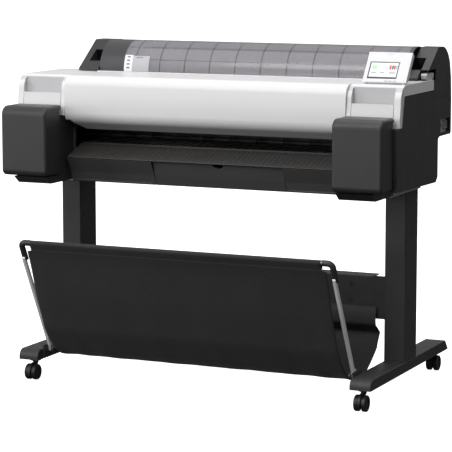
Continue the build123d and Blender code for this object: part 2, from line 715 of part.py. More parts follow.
def spool_channel(x):
    """Outline of the way that a spool end takes from the sloped face down to the roll axis."""
    radius = 20.0
    y, z = ROLL_AXIS
    with BuildSketch(Plane.YZ.offset(x)) as face:
        with BuildLine():
            Polyline((y - radius, z), (y - radius, 985), (100, 999), (20, 999), (20, 1034), (114, 1034),
                     (y + radius, 998), (y + radius, z))
            ThreePointArc((y - radius, z), (y, z - radius), (y + radius, z))
        make_face()
    return face.sketch


def build_roll_housing(side):
    if side < 0:
        low, high = HOUSING_LEFT, BAY_LEFT
        channel = (-520, BAY_LEFT + 1)
        hollow = (HOUSING_LEFT + 3, -523)
    else:
        low, high = BAY_RIGHT, HOUSING_RIGHT
        channel = (BAY_RIGHT - 1, 621)
        hollow = (624, HOUSING_RIGHT - 3)
    with BuildPart() as housing:
        extrude(roll_housing_face(low), amount=high - low, dir=(1, 0, 0))
        extrude(spool_channel(channel[0]), amount=channel[1] - channel[0], dir=(1, 0, 0),
                mode=Mode.SUBTRACT)
        side_prism(hollow[0], hollow[1], (115, 900), (115, 973), (60, 998), (146, 1060), (196, 1060),
                   (236, 1038), (258, 1003), (270, 960), (272, 900), mode=Mode.SUBTRACT)
        rod_x(low - 1 if side > 0 else high - 5, low + 5 if side > 0 else high + 1,
              ROLL_COVER_PIVOT, 3.1, mode=Mode.SUBTRACT)
        if side > 0:
            # notch for the release lever
            block(619, HOUSING_RIGHT + 1, 20, 126, 965, 1000, mode=Mode.SUBTRACT)
    return housing.part


def build_tank_cover(side):
    low = min(side * TANK_IN, side * TANK_OUT)
    width = TANK_OUT - TANK_IN
    back = -219.0

    def outline(x, inset):
        """Side outline of the box; inset 0 is the outside, inset WALL the inside."""
        top, bottom, front = TANK_TOP - inset, TANK_BOTTOM + inset, TANK_FRONT + inset
        rear = TANK_BACK + (20 if inset else 0)
        crest = back + (20 if inset else 0)
        upper, lower = 28 - inset, 18 - inset
        with BuildSketch(Plane.YZ.offset(x)) as face:
            with BuildLine():
                Line((crest, top), (front + upper, top))
                ThreePointArc((front + upper, top), on_circle((front + upper, top - upper), upper, 135),
                              (front, top - upper))
                Line((front, top - upper), (front, bottom + lower))
                ThreePointArc((front, bottom + lower),
                              on_circle((front + lower, bottom + lower), lower, 225), (front + lower, bottom))
                Polyline((front + lower, bottom), (rear, bottom), (rear, 858), (crest, 866), (crest, top))
            make_face()
        return face.sketch

    def rounded_box(inset, radius):
        """The outline carried across, with its side edges rounded."""
        start, length = low + inset, width - 2 * inset
        with BuildPart() as box:
            extrude(outline(start, inset), amount=length, dir=(1, 0, 0))
            ends = box.faces().sort_by(Axis.X)
            for end in (ends[0], ends[-1]):
                fillet(end.edges().filter_by(lambda edge: edge.center().Y < TANK_BACK - 5), radius)
        return box.part

    with BuildPart() as cover:
        add(rounded_box(0, 9))
        add(rounded_box(WALL, 6), mode=Mode.SUBTRACT)
        rod_x(low + WALL / 2, low + width - WALL / 2, TANK_PIVOT, 2.5)
        # lid seam round the sides
        for x0, x1 in ((low - 1, low + 0.9), (low + width - 0.9, low + width + 1)):
            side_prism(x0, x1, (TANK_FRONT + 22, 838), (TANK_BACK + 1, 846), (TANK_BACK + 1, 848),
                       (TANK_FRONT + 22, 840), mode=Mode.SUBTRACT)
    return cover.part


TANK_SLOTS = {-1: (519.0, 593.0), 1: (508.0, 556.0, 604.0)}
TANK_SLOT_WIDTH = {-1: 66.0, 1: 42.0}


def build_tank_bays():
    front, rear, bottom, top = -284.0, -127.0, 692.0, 838.0
    with BuildPart() as bays:
        for side in (-1, 1):
            block(side * 484, side * 628, front, rear, bottom, top)
            block(side * 484, side * 600, -222, rear, 656, bottom)
            for x in TANK_SLOTS[side]:
                half = TANK_SLOT_WIDTH[side] / 2
                block(side * x - half, side * x + half, front - 1, -150, bottom + 3, top - 3,
                      mode=Mode.SUBTRACT)
            # plate that closes the end of the output slot
            block(side * 475.5, side * 490, rear, rear + 3, 715, 800)
            # sloping plinth below the bay
            side_prism(side * 484, side * 600, (-307, 656), (-277, 633), (-127, 633), (-127, 656.5),
                       (-221, 656.5), (-221, 656))
            # ears that carry the cover's hinge rod
            for x in (504, 608):
                y, z = TANK_PIVOT
                block(side * x - 4, side * x + 4, y - 4.5, y + 4.5, top, z)
                rod_x(side * x - 4, side * x + 4, TANK_PIVOT, 4.5)
                rod_x(side * x - 5, side * x + 5, TANK_PIVOT, 2.6, mode=Mode.SUBTRACT)
    return bays.part


def build_ink_tanks():
    with BuildPart() as tanks:
        for side in (-1, 1):
            half = TANK_SLOT_WIDTH[side] / 2 - 1.5
            for x in TANK_SLOTS[side]:
                block(side * x - half, side * x + half, -280, -160, 695, 828)
                block(side * x - half + 5, side * x + half - 5, -283, -280, 720, 800)
    return tanks.part


# ---- roll ------------------------------------------------------------------------------
def build_roll_tray():
    inner, outer = 88.0, 90.8
    with BuildPart() as tray:
        with BuildSketch(Plane.YZ.offset(BAY_LEFT + 2)):
            with BuildLine():
                near = CenterArc(ROLL_AXIS, inner, 215, 104)
                far = CenterArc(ROLL_AXIS, outer, 215, 104)
                Line(near @ 0, far @ 0)
                Line(near @ 1, far @ 1)
            make_face()
        extrude(amount=BAY_RIGHT - BAY_LEFT - 4)
        block(BAY_LEFT + 2, BAY_RIGHT - 2, 199.5, 266, 906, 908.8)
    return tray.part


def roll_cover_band(x0, x1, start, end, inner=94.5, outer=ROLL_COVER_RADIUS):
    """Part of the cylindrical roll cover between two angles."""
    with BuildSketch(Plane.YZ.offset(min(x0, x1))) as face:
        with BuildLine():
            near = CenterArc(ROLL_COVER_CENTRE, inner, start, end - start)
            far = CenterArc(ROLL_COVER_CENTRE, outer, start, end - start)
            Line(near @ 0, far @ 0)
            Line(near @ 1, far @ 1)
        make_face()
    extrude(face.sketch, amount=abs(x1 - x0), dir=(1, 0, 0))


CLEAR_LEFT, CLEAR_RIGHT = -384.0, 574.0
BAND_ANGLE = 78.0
COVER_BEADS = (128.0, 156.4)


def build_roll_cover():
    rib_pitch = 88.0
    with BuildPart() as cover:
        roll_cover_band(CLEAR_LEFT, CLEAR_RIGHT, BAND_ANGLE, 180)
        for index in range(11):
            x = CLEAR_LEFT + 40 + index * rib_pitch
            roll_cover_band(x - 1, x + 1, BAND_ANGLE, 180, inner=93)
        # stiffening beads along the cover
        for angle in COVER_BEADS:
            roll_cover_band(CLEAR_LEFT, CLEAR_RIGHT, angle - 0.7, angle + 0.7, outer=ROLL_COVER_RADIUS + 0.8)
    return cover.part


def build_roll_cover_frame():
    left, right = BAY_LEFT + 1.5, BAY_RIGHT - 1.5
    with BuildLine() as path:
        Polyline(on_circle(ROLL_COVER_CENTRE, ROLL_COVER_RADIUS, 40), (262, 964), (266, 921))
    with BuildPart() as frame:
        roll_cover_band(left, right, 40, BAND_ANGLE)
        roll_cover_band(left, CLEAR_LEFT, BAND_ANGLE, 180)
        roll_cover_band(CLEAR_RIGHT, right, BAND_ANGLE, 180)
        bent_sheet(left, right, WALL, path.wire(), Side.RIGHT)
        rod_x(left, right, ROLL_COVER_PIVOT, 5)
        rod_x(left - 4, right + 4, ROLL_COVER_PIVOT, 3)
    return frame.part


def build_cover_edge_guide():
    """Light plate on the outside of the roll cover, with a row of marks that show the paper's edge."""
    outside = ROLL_COVER_RADIUS
    with BuildPart() as guide:
        roll_cover_band(-382, -354, 148, 179.5, inner=outside, outer=outside + 1.8)
        roll_cover_band(-354, -294, 149.5, 179.5, inner=outside, outer=outside + 1.2)
        for angle in (173, 166, 159, 152):
            place = on_circle(ROLL_COVER_CENTRE, outside + 1, angle)
            with Locations(Location((-368, *place), (angle, 0, 0))):
                Box(11, 6, 5, mode=Mode.SUBTRACT)
        with Locations(Location((-330, *on_circle(ROLL_COVER_CENTRE, outside + 1, 153)), (153, 0, 0))):
            Box(24, 6, 2.6, mode=Mode.SUBTRACT)
        # seat over the lower bead
        with BuildSketch(Plane.YZ.offset(-383)):
            with BuildLine():
                near = CenterArc(ROLL_COVER_CENTRE, outside - 1, COVER_BEADS[1] - 0.8, 1.6)
                far = CenterArc(ROLL_COVER_CENTRE, outside + 0.9, COVER_BEADS[1] - 0.8, 1.6)
                Line(near @ 0, far @ 0)
                Line(near @ 1, far @ 1)
            make_face()
        extrude(amount=90, mode=Mode.SUBTRACT)
    return guide.part


def build_paper_roll():
    with BuildPart() as paper:
        rod_x(ROLL_LEFT, ROLL_RIGHT, ROLL_AXIS, ROLL_RADIUS)
        rod_x(ROLL_LEFT - 1, ROLL_RIGHT + 1, ROLL_AXIS, 25.4, mode=Mode.SUBTRACT)
    return paper.part


def build_roll_spool():
    """Roll holder: core, a wide flange on the left with a notched rim, and a narrow one on the right."""
    flange = 31.0
    with BuildPart() as spool:
        rod_x(ROLL_LEFT - 1 - flange, ROLL_LEFT - 0.5, ROLL_AXIS, FLANGE_RADIUS)
        with Locations(Location((ROLL_LEFT - 1 - flange / 2, *ROLL_AXIS), (0, 90, 0))):
            with PolarLocations(FLANGE_RADIUS, 30):
                Box(5, 6, 14, mode=Mode.SUBTRACT)
        rod_x(ROLL_RIGHT + 0.5, ROLL_RIGHT + 12, ROLL_AXIS, FLANGE_RADIUS)
        rod_x(ROLL_LEFT - 2, ROLL_RIGHT + 2, ROLL_AXIS, 25)
        rod_x(-515, 617, ROLL_AXIS, 12)
        rod_x(-515, -474, ROLL_AXIS, 19.5)
        rod_x(590, 617, ROLL_AXIS, 19.5)
    return spool.part


# ---- operation panel -------------------------------------------------------------------
def panel_plane(lift=0.0):
    """Front plane of the operation panel, with its own Y running up the slope."""
    up = Vector(0, PANEL_HEAD[0] - PANEL_FOOT[0], PANEL_HEAD[1] - PANEL_FOOT[1]).normalized()
    out = Vector(1, 0, 0).cross(up)
    return Plane(origin=(0, *PANEL_FOOT), x_dir=(1, 0, 0), z_dir=out).offset(lift)


SCREEN_CENTRE = (561.5, 45.0)
BUTTONS = {"left": 576.0, "middle": 590.0, "right": 604.0}
BUTTON_HEIGHT = 7.5
BUTTON_SIZE = (9.0, 4.0)


def build_panel_housing():
    with BuildPart() as housing:
        side_prism(PANEL_LEFT, PANEL_RIGHT, PANEL_FOOT, PANEL_HEAD, (-65, 1050), (-119.5, 974))
        fillet(housing.faces().sort_by(Axis.Y)[0].edges(), 3)
        with BuildSketch(panel_plane()):
            with Locations(SCREEN_CENTRE):
                Rectangle(SCREEN[0] + 0.4, SCREEN[1] + 0.4)
        extrude(amount=-SCREEN[2], mode=Mode.SUBTRACT)
        with BuildSketch(panel_plane()):
            for x in BUTTONS.values():
                with Locations((x, BUTTON_HEIGHT)):
                    Rectangle(BUTTON_SIZE[0] + 0.5, BUTTON_SIZE[1] + 0.5)
        extrude(amount=-4, mode=Mode.SUBTRACT)
        with BuildSketch(panel_plane()):
            with Locations((572, 103)):
                RectangleRounded(14, 3, 1.2)
        extrude(amount=1.2)
        # gaps around the two lugs, crossed by the hinge pins
        for x in PANEL_LUGS:
            y, z = PANEL_PIVOT
            rod_x(x - 3.6, x + 3.6, PANEL_PIVOT, 6.7, mode=Mode.SUBTRACT)
            block(x - 3.6, x + 3.6, y - 9, -100, 960, z, mode=Mode.SUBTRACT)
            block(x - 3.6, x + 3.6, y, -100, 960, z + 5, mode=Mode.SUBTRACT)
            rod_x(x - 5, x + 5, PANEL_PIVOT, 2.5)
    return housing.part


def build_panel_screen():
    with BuildPart() as screen:
        with BuildSketch(panel_plane(-SCREEN[2])):
            with Locations(SCREEN_CENTRE):
                Rectangle(SCREEN[0], SCREEN[1])
        extrude(amount=SCREEN[2] - 0.3)
    return screen.part


def build_panel_button(x):
    with BuildPart() as button:
        with BuildSketch(panel_plane(-2.4)):
            with Locations((x, BUTTON_HEIGHT)):
                RectangleRounded(*BUTTON_SIZE, 1)
        extrude(amount=3.2)
    return button.part


def build_release_lever():
    with BuildPart() as lever:
        side_prism(622.5, 640.5, (84, 944), (52, 973), (50, 984), (55, 989), (114, 989), (118, 984),
                   (116, 973), (100, 970), (100, 946))
        rod_x(622.5, 640.5, LEVER_PIVOT, 9)
        rod_x(618, 641, LEVER_PIVOT, 3)
    return lever.part


# ---- all parts -------------------------------------------------------------------------
SIDES = {"left": -1, "right": 1}

for name, sign in SIDES.items():
    write(build_foot(sign), f"{name}_foot")
    write(build_post(sign), f"{name}_post")
    write(build_end_cover(sign), f"{name}_end_cover")
    write(build_side_cover(sign), f"{name}_side_cover")
    write(build_roll_housing(sign), f"{name}_roll_housing")
    write(build_tank_cover(sign), f"{name}_tank_cover")
    for corner in ("front", "rear"):
        write(build_caster_fork(sign, corner), f"caster_fork_{corner}_{name}")
        write(build_caster_wheels(sign, corner), f"caster_wheels_{corner}_{name}")

for place, button_x in BUTTONS.items():
    write(build_panel_button(button_x), f"panel_button_{place}")

SINGLE_PARTS = {
    "cross_beam": build_cross_beam, "stand_screws": build_stand_screws,
    "basket_brackets": build_basket_brackets, "basket_arms": build_basket_arms,
    "basket_rod": build_basket_rod, "basket_elbows": build_basket_elbows,
    "basket_front_cloth": build_front_cloth, "basket_rear_cloth": build_rear_cloth,
    "base_frame": build_base_frame, "platen": build_platen, "output_guide": build_output_guide,
    "front_fascia": build_front_fascia, "front_hatch": build_front_hatch,
    "carriage_rail": build_carriage_rail, "carriage": build_carriage, "drive_belt": build_drive_belt,
    "drive_motors": build_drive_motors, "control_board": build_control_board,
    "feed_roller": build_feed_roller, "pinch_rollers": build_pinch_rollers,
    "top_cover": build_top_cover, "pocket_panels": build_pocket_panels, "top_deck": build_top_deck,
    "rear_cover": build_rear_cover, "interface_panel": build_interface_panel,
    "interface_sockets": build_interface_sockets, "tank_bays": build_tank_bays,
    "ink_tanks": build_ink_tanks, "cover_edge_guide": build_cover_edge_guide, "roll_tray": build_roll_tray,
    "roll_cover": build_roll_cover, "roll_cover_frame": build_roll_cover_frame,
    "paper_roll": build_paper_roll, "roll_spool": build_roll_spool,
    "panel_housing": build_panel_housing, "panel_screen": build_panel_screen,
    "release_lever": build_release_lever,
}
for name, build in SINGLE_PARTS.items():
    write(build(), name)
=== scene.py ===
import json
import math

import bpy
import numpy as np
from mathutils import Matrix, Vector


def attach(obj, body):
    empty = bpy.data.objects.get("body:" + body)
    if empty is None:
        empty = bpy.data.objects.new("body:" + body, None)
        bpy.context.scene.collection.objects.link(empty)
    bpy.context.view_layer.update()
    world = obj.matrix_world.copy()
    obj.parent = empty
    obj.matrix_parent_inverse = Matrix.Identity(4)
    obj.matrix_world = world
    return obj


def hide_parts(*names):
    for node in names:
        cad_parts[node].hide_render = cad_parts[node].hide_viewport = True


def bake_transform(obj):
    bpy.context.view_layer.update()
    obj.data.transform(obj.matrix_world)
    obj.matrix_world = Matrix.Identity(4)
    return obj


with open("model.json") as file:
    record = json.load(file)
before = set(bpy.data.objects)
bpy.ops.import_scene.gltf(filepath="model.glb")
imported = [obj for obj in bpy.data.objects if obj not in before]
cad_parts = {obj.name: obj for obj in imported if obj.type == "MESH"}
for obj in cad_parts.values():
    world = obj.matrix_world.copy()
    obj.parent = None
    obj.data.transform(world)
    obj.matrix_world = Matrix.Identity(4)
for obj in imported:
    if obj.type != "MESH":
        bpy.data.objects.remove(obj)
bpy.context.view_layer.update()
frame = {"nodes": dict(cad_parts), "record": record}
NODES = frame["nodes"]

# ---- places taken over from the CAD model, in metres ------------------------------------
ROLL_AXIS = (0.132, 0.965)
ROD = (-0.412, 0.463)
BASKET_PIVOT = (-0.227, 0.095)
ARM_TOP = (-0.393, 0.411)
PANEL_FOOT = Vector((0.0, -0.142, 0.972))
PANEL_HEAD = Vector((0.0, -0.078, 1.060))
SCREEN_CENTRE = (0.5615, 0.045)
SCREEN_FACE = -0.0003
SCREEN_SIZE = (0.093, 0.059)
ROLL_COVER_CENTRE = (0.130, 0.970)
COVER_BEADS = (128.0, 156.4)  # degrees round the roll cover
COVER_RIB_PITCH = 0.088
COVER_RIB_START = 0.388       # puts the middle of a pitch on every rib
COVER_RIB_HALF = 0.0015
COVER_BEAD_HALF = 0.7         # degrees


# ---- shader helpers ---------------------------------------------------------------------
class Surface:
    """One node material, with short ways to add and join its nodes."""

    def __init__(self, name, **constants):
        self.material = bpy.data.materials.new(name)
        self.material.use_nodes = True
        self.tree = self.material.node_tree
        self.shader = self.tree.nodes["Principled BSDF"]
        for socket, value in constants.items():
            self.put(self.shader, socket.replace("_", " "), value)
        self.place = self.add("ShaderNodeTexCoord").outputs["Object"]

    def put(self, node, key, value):
        """Set a socket, or join another node's output to it."""
        socket = node.inputs[key]
        if isinstance(value, bpy.types.NodeSocket):
            self.tree.links.new(value, socket)
        elif socket.type == "RGBA" and len(value) == 3:
            socket.default_value = (*value, 1.0)
        else:
            socket.default_value = value

    def add(self, kind, inputs=None, **settings):
        node = self.tree.nodes.new(kind)
        for key, value in settings.items():
            setattr(node, key, value)
        for key, value in (inputs or {}).items():
            self.put(node, key, value)
        return node

    def stretched(self, scale, turn=(0, 0, 0), vector=None):
        """The object's own coordinates, scaled and turned."""
        node = self.add("ShaderNodeMapping", {"Vector": vector or self.place, "Scale": scale,
                                              "Rotation": [math.radians(a) for a in turn]})
        return node.outputs["Vector"]

    def noise(self, scale, detail=3.0, rough=0.55, vector=None):
        node = self.add("ShaderNodeTexNoise", {"Vector": vector or self.place, "Scale": scale,
                                               "Detail": detail, "Roughness": rough})
        return node.outputs["Fac"]

    def cells(self, scale, vector=None, feature="F1"):
        node = self.add("ShaderNodeTexVoronoi", {"Vector": vector or self.place, "Scale": scale},
                        feature=feature)
        return node.outputs["Distance"]

    def spread(self, value, low, high, start=0.3, end=0.7):
        """A 0-1 value carried to the range low-high."""
        node = self.add("ShaderNodeMapRange", {"Value": value, "From Min": start, "From Max": end,
                                               "To Min": low, "To Max": high})
        return node.outputs["Result"]

    def between(self, axis, start, end):
        """1 where the object's own coordinate lies between two values."""
        along = self.add("ShaderNodeSeparateXYZ", {"Vector": self.place}).outputs[axis]
        return self.math("COMPARE", along, (start + end) / 2, (end - start) / 2)

    def mix(self, share, first, second):
        node = self.add("ShaderNodeMix", {0: share, 6: first, 7: second}, data_type="RGBA")
        return node.outputs[2]

    def math(self, operation, *values):
        return self.add("ShaderNodeMath", dict(enumerate(values)), operation=operation).outputs[0]

    def bump(self, height, depth, strength=1.0, under=None):
        inputs = {"Height": height, "Distance": depth, "Strength": strength}
        if under is not None:
            inputs["Normal"] = under
        return self.add("ShaderNodeBump", inputs).outputs["Normal"]

    def finish(self, colour=None, roughness=None, normal=None):
        for key, value in (("Base Color", colour), ("Roughness", roughness), ("Normal", normal)):
            if value is not None:
                self.put(self.shader, key, value)
        return self.material


def shade(colour, factor):
    return tuple(min(1.0, c * factor) for c in colour)


# ---- materials --------------------------------------------------------------------------
def moulded(name, colour, gloss, grain, depth, tone=0.06, smudge=0.08, inside=None, **constants):
    """Injection moulded plastic: even colour, fine moulded grain, and faint handling smudges.

    inside: (axis, start, end, second colour) of a band in another colour; the end covers' pocket wall band
    is painted shade.
    """
    s = Surface(name, **constants)
    cloud = s.noise(7.0, 4.0)
    speck = s.noise(950.0, 2.0)
    base = s.mix(s.spread(cloud, 0.0, 1.0), shade(colour, 1 - tone), shade(colour, 1 + tone))
    base = s.mix(s.spread(speck, 0.0, 0.35), base, shade(colour, 1 - 2 * tone))
    # a band in a second colour; on the end covers it is painted shade on the pocket's back wall
    if inside:
        base = s.mix(s.between(*inside[:3]), base, inside[3])
    wiped = s.noise(14.0, 5.0, 0.62, s.stretched((1.0, 1.0, 0.35), (12, 0, 25)))
    rough = s.spread(wiped, gloss - smudge, gloss + smudge)
    peel = s.bump(s.noise(grain * 0.12, 2.0), depth * 1.4, 0.5)
    return s.finish(base, rough, s.bump(s.cells(grain), depth, 0.8, peel))


def powder_coat(name, colour, gloss=0.46):
    """Powder coated steel: orange peel, tiny sparkles and a few paler scuffs."""
    s = Surface(name, Specular_IOR_Level=0.45)
    cloud = s.noise(5.0, 3.0)
    base = s.mix(s.spread(cloud, 0.0, 1.0), shade(colour, 0.88), shade(colour, 1.14))
    scuff = s.noise(38.0, 6.0, 0.7, s.stretched((1.0, 1.0, 0.2)))
    base = s.mix(s.spread(scuff, 0.0, 0.6, 0.66, 0.74), base, shade(colour, 2.2))
    rough = s.spread(s.noise(60.0, 3.0), gloss - 0.07, gloss + 0.09)
    fine = s.bump(s.noise(2200.0, 1.0), 0.00006, 0.5)
    return s.finish(base, rough, s.bump(s.noise(520.0, 2.0), 0.00022, 0.7, fine))


def brushed(name, colour, gloss, turn, colour_spread=0.08, metallic=1.0):
    """Metal with fine lines along one direction."""
    s = Surface(name, Metallic=metallic)
    lines = s.noise(60.0, 6.0, 0.7, s.stretched((30.0, 30.0, 1.0), turn))
    cloud = s.noise(9.0, 3.0)
    base = s.mix(s.spread(lines, 0.0, 1.0), shade(colour, 1 - colour_spread),
                 shade(colour, 1 + colour_spread))
    base = s.mix(s.spread(cloud, 0.0, 0.3), base, shade(colour, 0.8))
    rough = s.spread(lines, gloss - 0.06, gloss + 0.12)
    return s.finish(base, rough, s.bump(lines, 0.00004, 0.6))


SEAMS = (0.0035, 0.071)       # stitched lines, measured down the cloth from its edge
SEAM_HALF = 0.0007
STITCH_RATE = 1400.0          # radians of the stitch wave in a metre
THREAD_PITCH = 0.0016


def woven(name, colour):
    """Plain woven polyester: threads from the sheet's own measure, slubs and stitched seams."""
    s = Surface(name, Sheen_Weight=0.22, Sheen_Roughness=0.45, Sheen_Tint=(0.5, 0.5, 0.52),
                Specular_IOR_Level=0.3)
    uv = s.add("ShaderNodeTexCoord").outputs["UV"]
    axes = s.add("ShaderNodeSeparateXYZ", {"Vector": uv})
    pitch = 2 * math.pi / THREAD_PITCH
    warp = s.math("SINE", s.math("MULTIPLY", axes.outputs["X"], pitch))
    weft = s.math("SINE", s.math("MULTIPLY", axes.outputs["Y"], pitch))
    weave = s.math("ADD", s.math("MULTIPLY", s.math("MULTIPLY", warp, weft), 0.5), 0.5)
    slub = s.noise(260.0, 3.0, 0.6, s.stretched((0.15, 1.0, 1.0), vector=uv))
    cloud = s.noise(4.5, 4.0, 0.6, uv)
    base = s.mix(s.spread(cloud, 0.0, 1.0), shade(colour, 0.86), shade(colour, 1.18))
    base = s.mix(s.spread(weave, 0.0, 0.5, 0.0, 1.0), base, shade(colour, 1.55))
    base = s.mix(s.spread(slub, 0.0, 0.5, 0.55, 0.75), base, shade(colour, 0.6))
    # painted light: the cloth is painted lighter further down from its hem, towards the basket bottom
    base = s.mix(s.spread(axes.outputs["Y"], 0.0, 0.5, 0.1, 0.6), base, shade(colour, 2.2))
    stitch = s.math("SINE", s.math("MULTIPLY", axes.outputs["X"], STITCH_RATE))
    stitch = s.math("GREATER_THAN", stitch, -0.4)
    for seam in SEAMS:
        line = s.math("MULTIPLY", s.math("COMPARE", axes.outputs["Y"], seam, SEAM_HALF), stitch)
        base = s.mix(line, base, shade(colour, 4.5))
    rough = s.spread(slub, 0.62, 0.8)
    puckers = s.bump(s.noise(42.0, 3.0, 0.5, uv), 0.0008, 0.35)
    return s.finish(base, rough, s.bump(weave, 0.00025, 0.7, puckers))


def rubber(name, colour, gloss):
    """Dull rubber or nylon with dusty patches."""
    s = Surface(name, Specular_IOR_Level=0.4)
    dust = s.noise(120.0, 5.0, 0.65)
    base = s.mix(s.spread(dust, 0.0, 0.5, 0.5, 0.75), colour, shade(colour, 2.4))
    rough = s.spread(dust, gloss - 0.06, gloss + 0.14)
    return s.finish(base, rough, s.bump(s.noise(900.0, 2.0), 0.00008, 0.6))


RING_RATE = 5200.0            # radians of the ring wave in a metre of radius


def rolled_paper(name):
    """Coated paper: faint fibres on the outside, fine rings on the ends of the roll."""
    s = Surface(name, Sheen_Weight=0.08, Specular_IOR_Level=0.35)
    fibre = s.noise(420.0, 5.0, 0.7, s.stretched((0.4, 1.0, 1.0)))
    axes = s.add("ShaderNodeSeparateXYZ", {"Vector": s.place})
    across = s.math("SUBTRACT", axes.outputs["Y"], ROLL_AXIS[0])
    up = s.math("SUBTRACT", axes.outputs["Z"], ROLL_AXIS[1])
    radius = s.math("SQRT", s.math("ADD", s.math("MULTIPLY", across, across), s.math("MULTIPLY", up, up)))
    rings = s.math("SINE", s.math("MULTIPLY", radius, RING_RATE))
    base = s.mix(s.spread(fibre, 0.0, 1.0), (0.84, 0.84, 0.86), (0.92, 0.92, 0.93))
    rough = s.spread(fibre, 0.5, 0.66)
    return s.finish(base, rough, s.bump(rings, 0.00005, 0.4, s.bump(fibre, 0.00005, 0.5)))


def smoked_clear(name):
    """Smoky clear plastic with hairline scratches, and painted shade: dark lines at the ribs moulded on
    its inner face and at its two beads.
    """
    s = Surface(name, Alpha=0.55, IOR=1.49, Coat_Weight=0.35, Coat_Roughness=0.06)
    haze = s.noise(6.0, 3.0)
    scratch = s.noise(90.0, 6.0, 0.72, s.stretched((0.3, 3.0, 1.0), (0, 0, 18)))
    base = s.mix(s.spread(haze, 0.0, 1.0), (0.30, 0.285, 0.31), (0.33, 0.315, 0.34))
    axes = s.add("ShaderNodeSeparateXYZ", {"Vector": s.place})
    along = s.math("ADD", axes.outputs["X"], COVER_RIB_START)
    phase = s.math("FRACT", s.math("DIVIDE", along, COVER_RIB_PITCH))
    rib = s.math("COMPARE", phase, 0.5, COVER_RIB_HALF / COVER_RIB_PITCH)
    up = s.math("SUBTRACT", axes.outputs["Z"], ROLL_COVER_CENTRE[1])
    across = s.math("SUBTRACT", axes.outputs["Y"], ROLL_COVER_CENTRE[0])
    angle = s.math("ARCTAN2", up, across)
    for bead in COVER_BEADS:
        edge = s.math("COMPARE", angle, math.radians(bead), math.radians(COVER_BEAD_HALF))
        rib = s.math("MAXIMUM", rib, s.math("MULTIPLY", edge, 0.55))
    # painted shade: dark lines at the ribs, fainter at the two beads
    base = s.mix(s.math("MULTIPLY", rib, 0.85), base, (0.03, 0.03, 0.035))
    rough = s.spread(scratch, 0.14, 0.28, 0.45, 0.75)
    return s.finish(base, rough, s.bump(scratch, 0.000004, 0.2))


def circuit_board(name):
    """Green lacquered board with paler copper tracks."""
    s = Surface(name, Coat_Weight=0.3)
    tracks = s.cells(90.0, s.stretched((1.0, 0.1, 1.0)), "DISTANCE_TO_EDGE")
    speck = s.noise(500.0, 2.0)
    copper = s.spread(tracks, 1.0, 0.0, 0.0, 0.09)
    base = s.mix(copper, (0.02, 0.13, 0.06), (0.06, 0.3, 0.14))
    rough = s.spread(speck, 0.28, 0.42)
    return s.finish(base, rough, s.bump(copper, 0.0001, 0.6))


def lit(name, colour, glow):
    """Part of the display picture: a faint pixel grid over an even colour."""
    s = Surface(name, Emission_Strength=glow, Specular_IOR_Level=0.6)
    grid = s.cells(2600.0)
    base = s.mix(s.spread(grid, 0.0, 1.0, 0.1, 0.8), colour, shade(colour, 0.86))
    s.put(s.shader, "Emission Color", base)
    return s.finish(base, s.spread(s.noise(300.0), 0.12, 0.24))


def pale_floor(name):
    s = Surface(name, Specular_IOR_Level=0.1, Emission_Color=(1, 1, 1, 1), Emission_Strength=1.0)
    cloud = s.noise(0.8, 3.0)
    return s.finish(s.mix(s.spread(cloud, 0.0, 1.0), (0.83, 0.83, 0.83), (0.86, 0.86, 0.86)),
                    s.spread(cloud, 0.85, 0.95))


CHARCOAL = (0.033, 0.033, 0.034)
WHITE = (0.80, 0.80, 0.81)
# gloss, grain, depth, tone and smudge of the white covers
SATIN = (0.36, 2100.0, 0.00004, 0.008, 0.012)
ARM_TILT = math.degrees(math.atan2(ARM_TOP[0] - BASKET_PIVOT[0], ARM_TOP[1] - BASKET_PIVOT[1]))

FINISHES = {
    "dark_plastic": moulded("charcoal_grain", CHARCOAL, 0.38, 1500.0, 0.00016, Specular_IOR_Level=0.45),
    "white_plastic": moulded("white_satin", WHITE, *SATIN, Coat_Weight=0.12, Coat_Roughness=0.25),
    "grey_plastic": moulded("pale_grey_satin", (0.60, 0.60, 0.61), 0.38, 1800.0, 0.00008, 0.02),
    "smoke_plastic": smoked_clear("smoky_clear"),
    "cover_grey": moulded("slate_satin", (0.048, 0.048, 0.052), 0.34, 1700.0, 0.00008, 0.03, 0.03),
    "black_steel": powder_coat("black_powder_coat", (0.034, 0.034, 0.036)),
    "bare_steel": brushed("zinc_steel", (0.55, 0.56, 0.58), 0.34, (0, 90, 0)),
    "silver_metal": brushed("satin_aluminium", (0.80, 0.80, 0.82), 0.36, (ARM_TILT, 0, 0), 0.05, 0.25),
    "caster_plastic": rubber("caster_nylon", (0.016, 0.016, 0.017), 0.34),
    "roller_rubber": rubber("roller_rubber", (0.05, 0.05, 0.052), 0.6),
    "black_cloth": woven("basket_weave", (0.021, 0.021, 0.022)),
    "paper": rolled_paper("coated_paper"),
    "screen_glass": moulded("screen_edge", (0.012, 0.012, 0.014), 0.12, 2500.0, 0.00001, 0.05, 0.04,
                            Coat_Weight=0.6),
    "motor_metal": brushed("motor_steel", (0.52, 0.52, 0.54), 0.42, (0, 0, 0), 0.08, 0.7),
    "board": circuit_board("circuit_board"),
    "ink_plastic": moulded("tank_plastic", (0.07, 0.07, 0.08), 0.24, 1200.0, 0.00006),
}

# axis, start, end and colour of a band in another colour: moulded so on the guide plate, painted shade on
# the pocket wall
POCKET_WALL_SHADE = ("Y", -0.183, -0.168, (0.58, 0.58, 0.59))
GUIDE_PLATE = ("X", -0.3538, -0.29, (0.46, 0.46, 0.48))
LOWER_FRONT_GREY = (0.062, 0.062, 0.064)

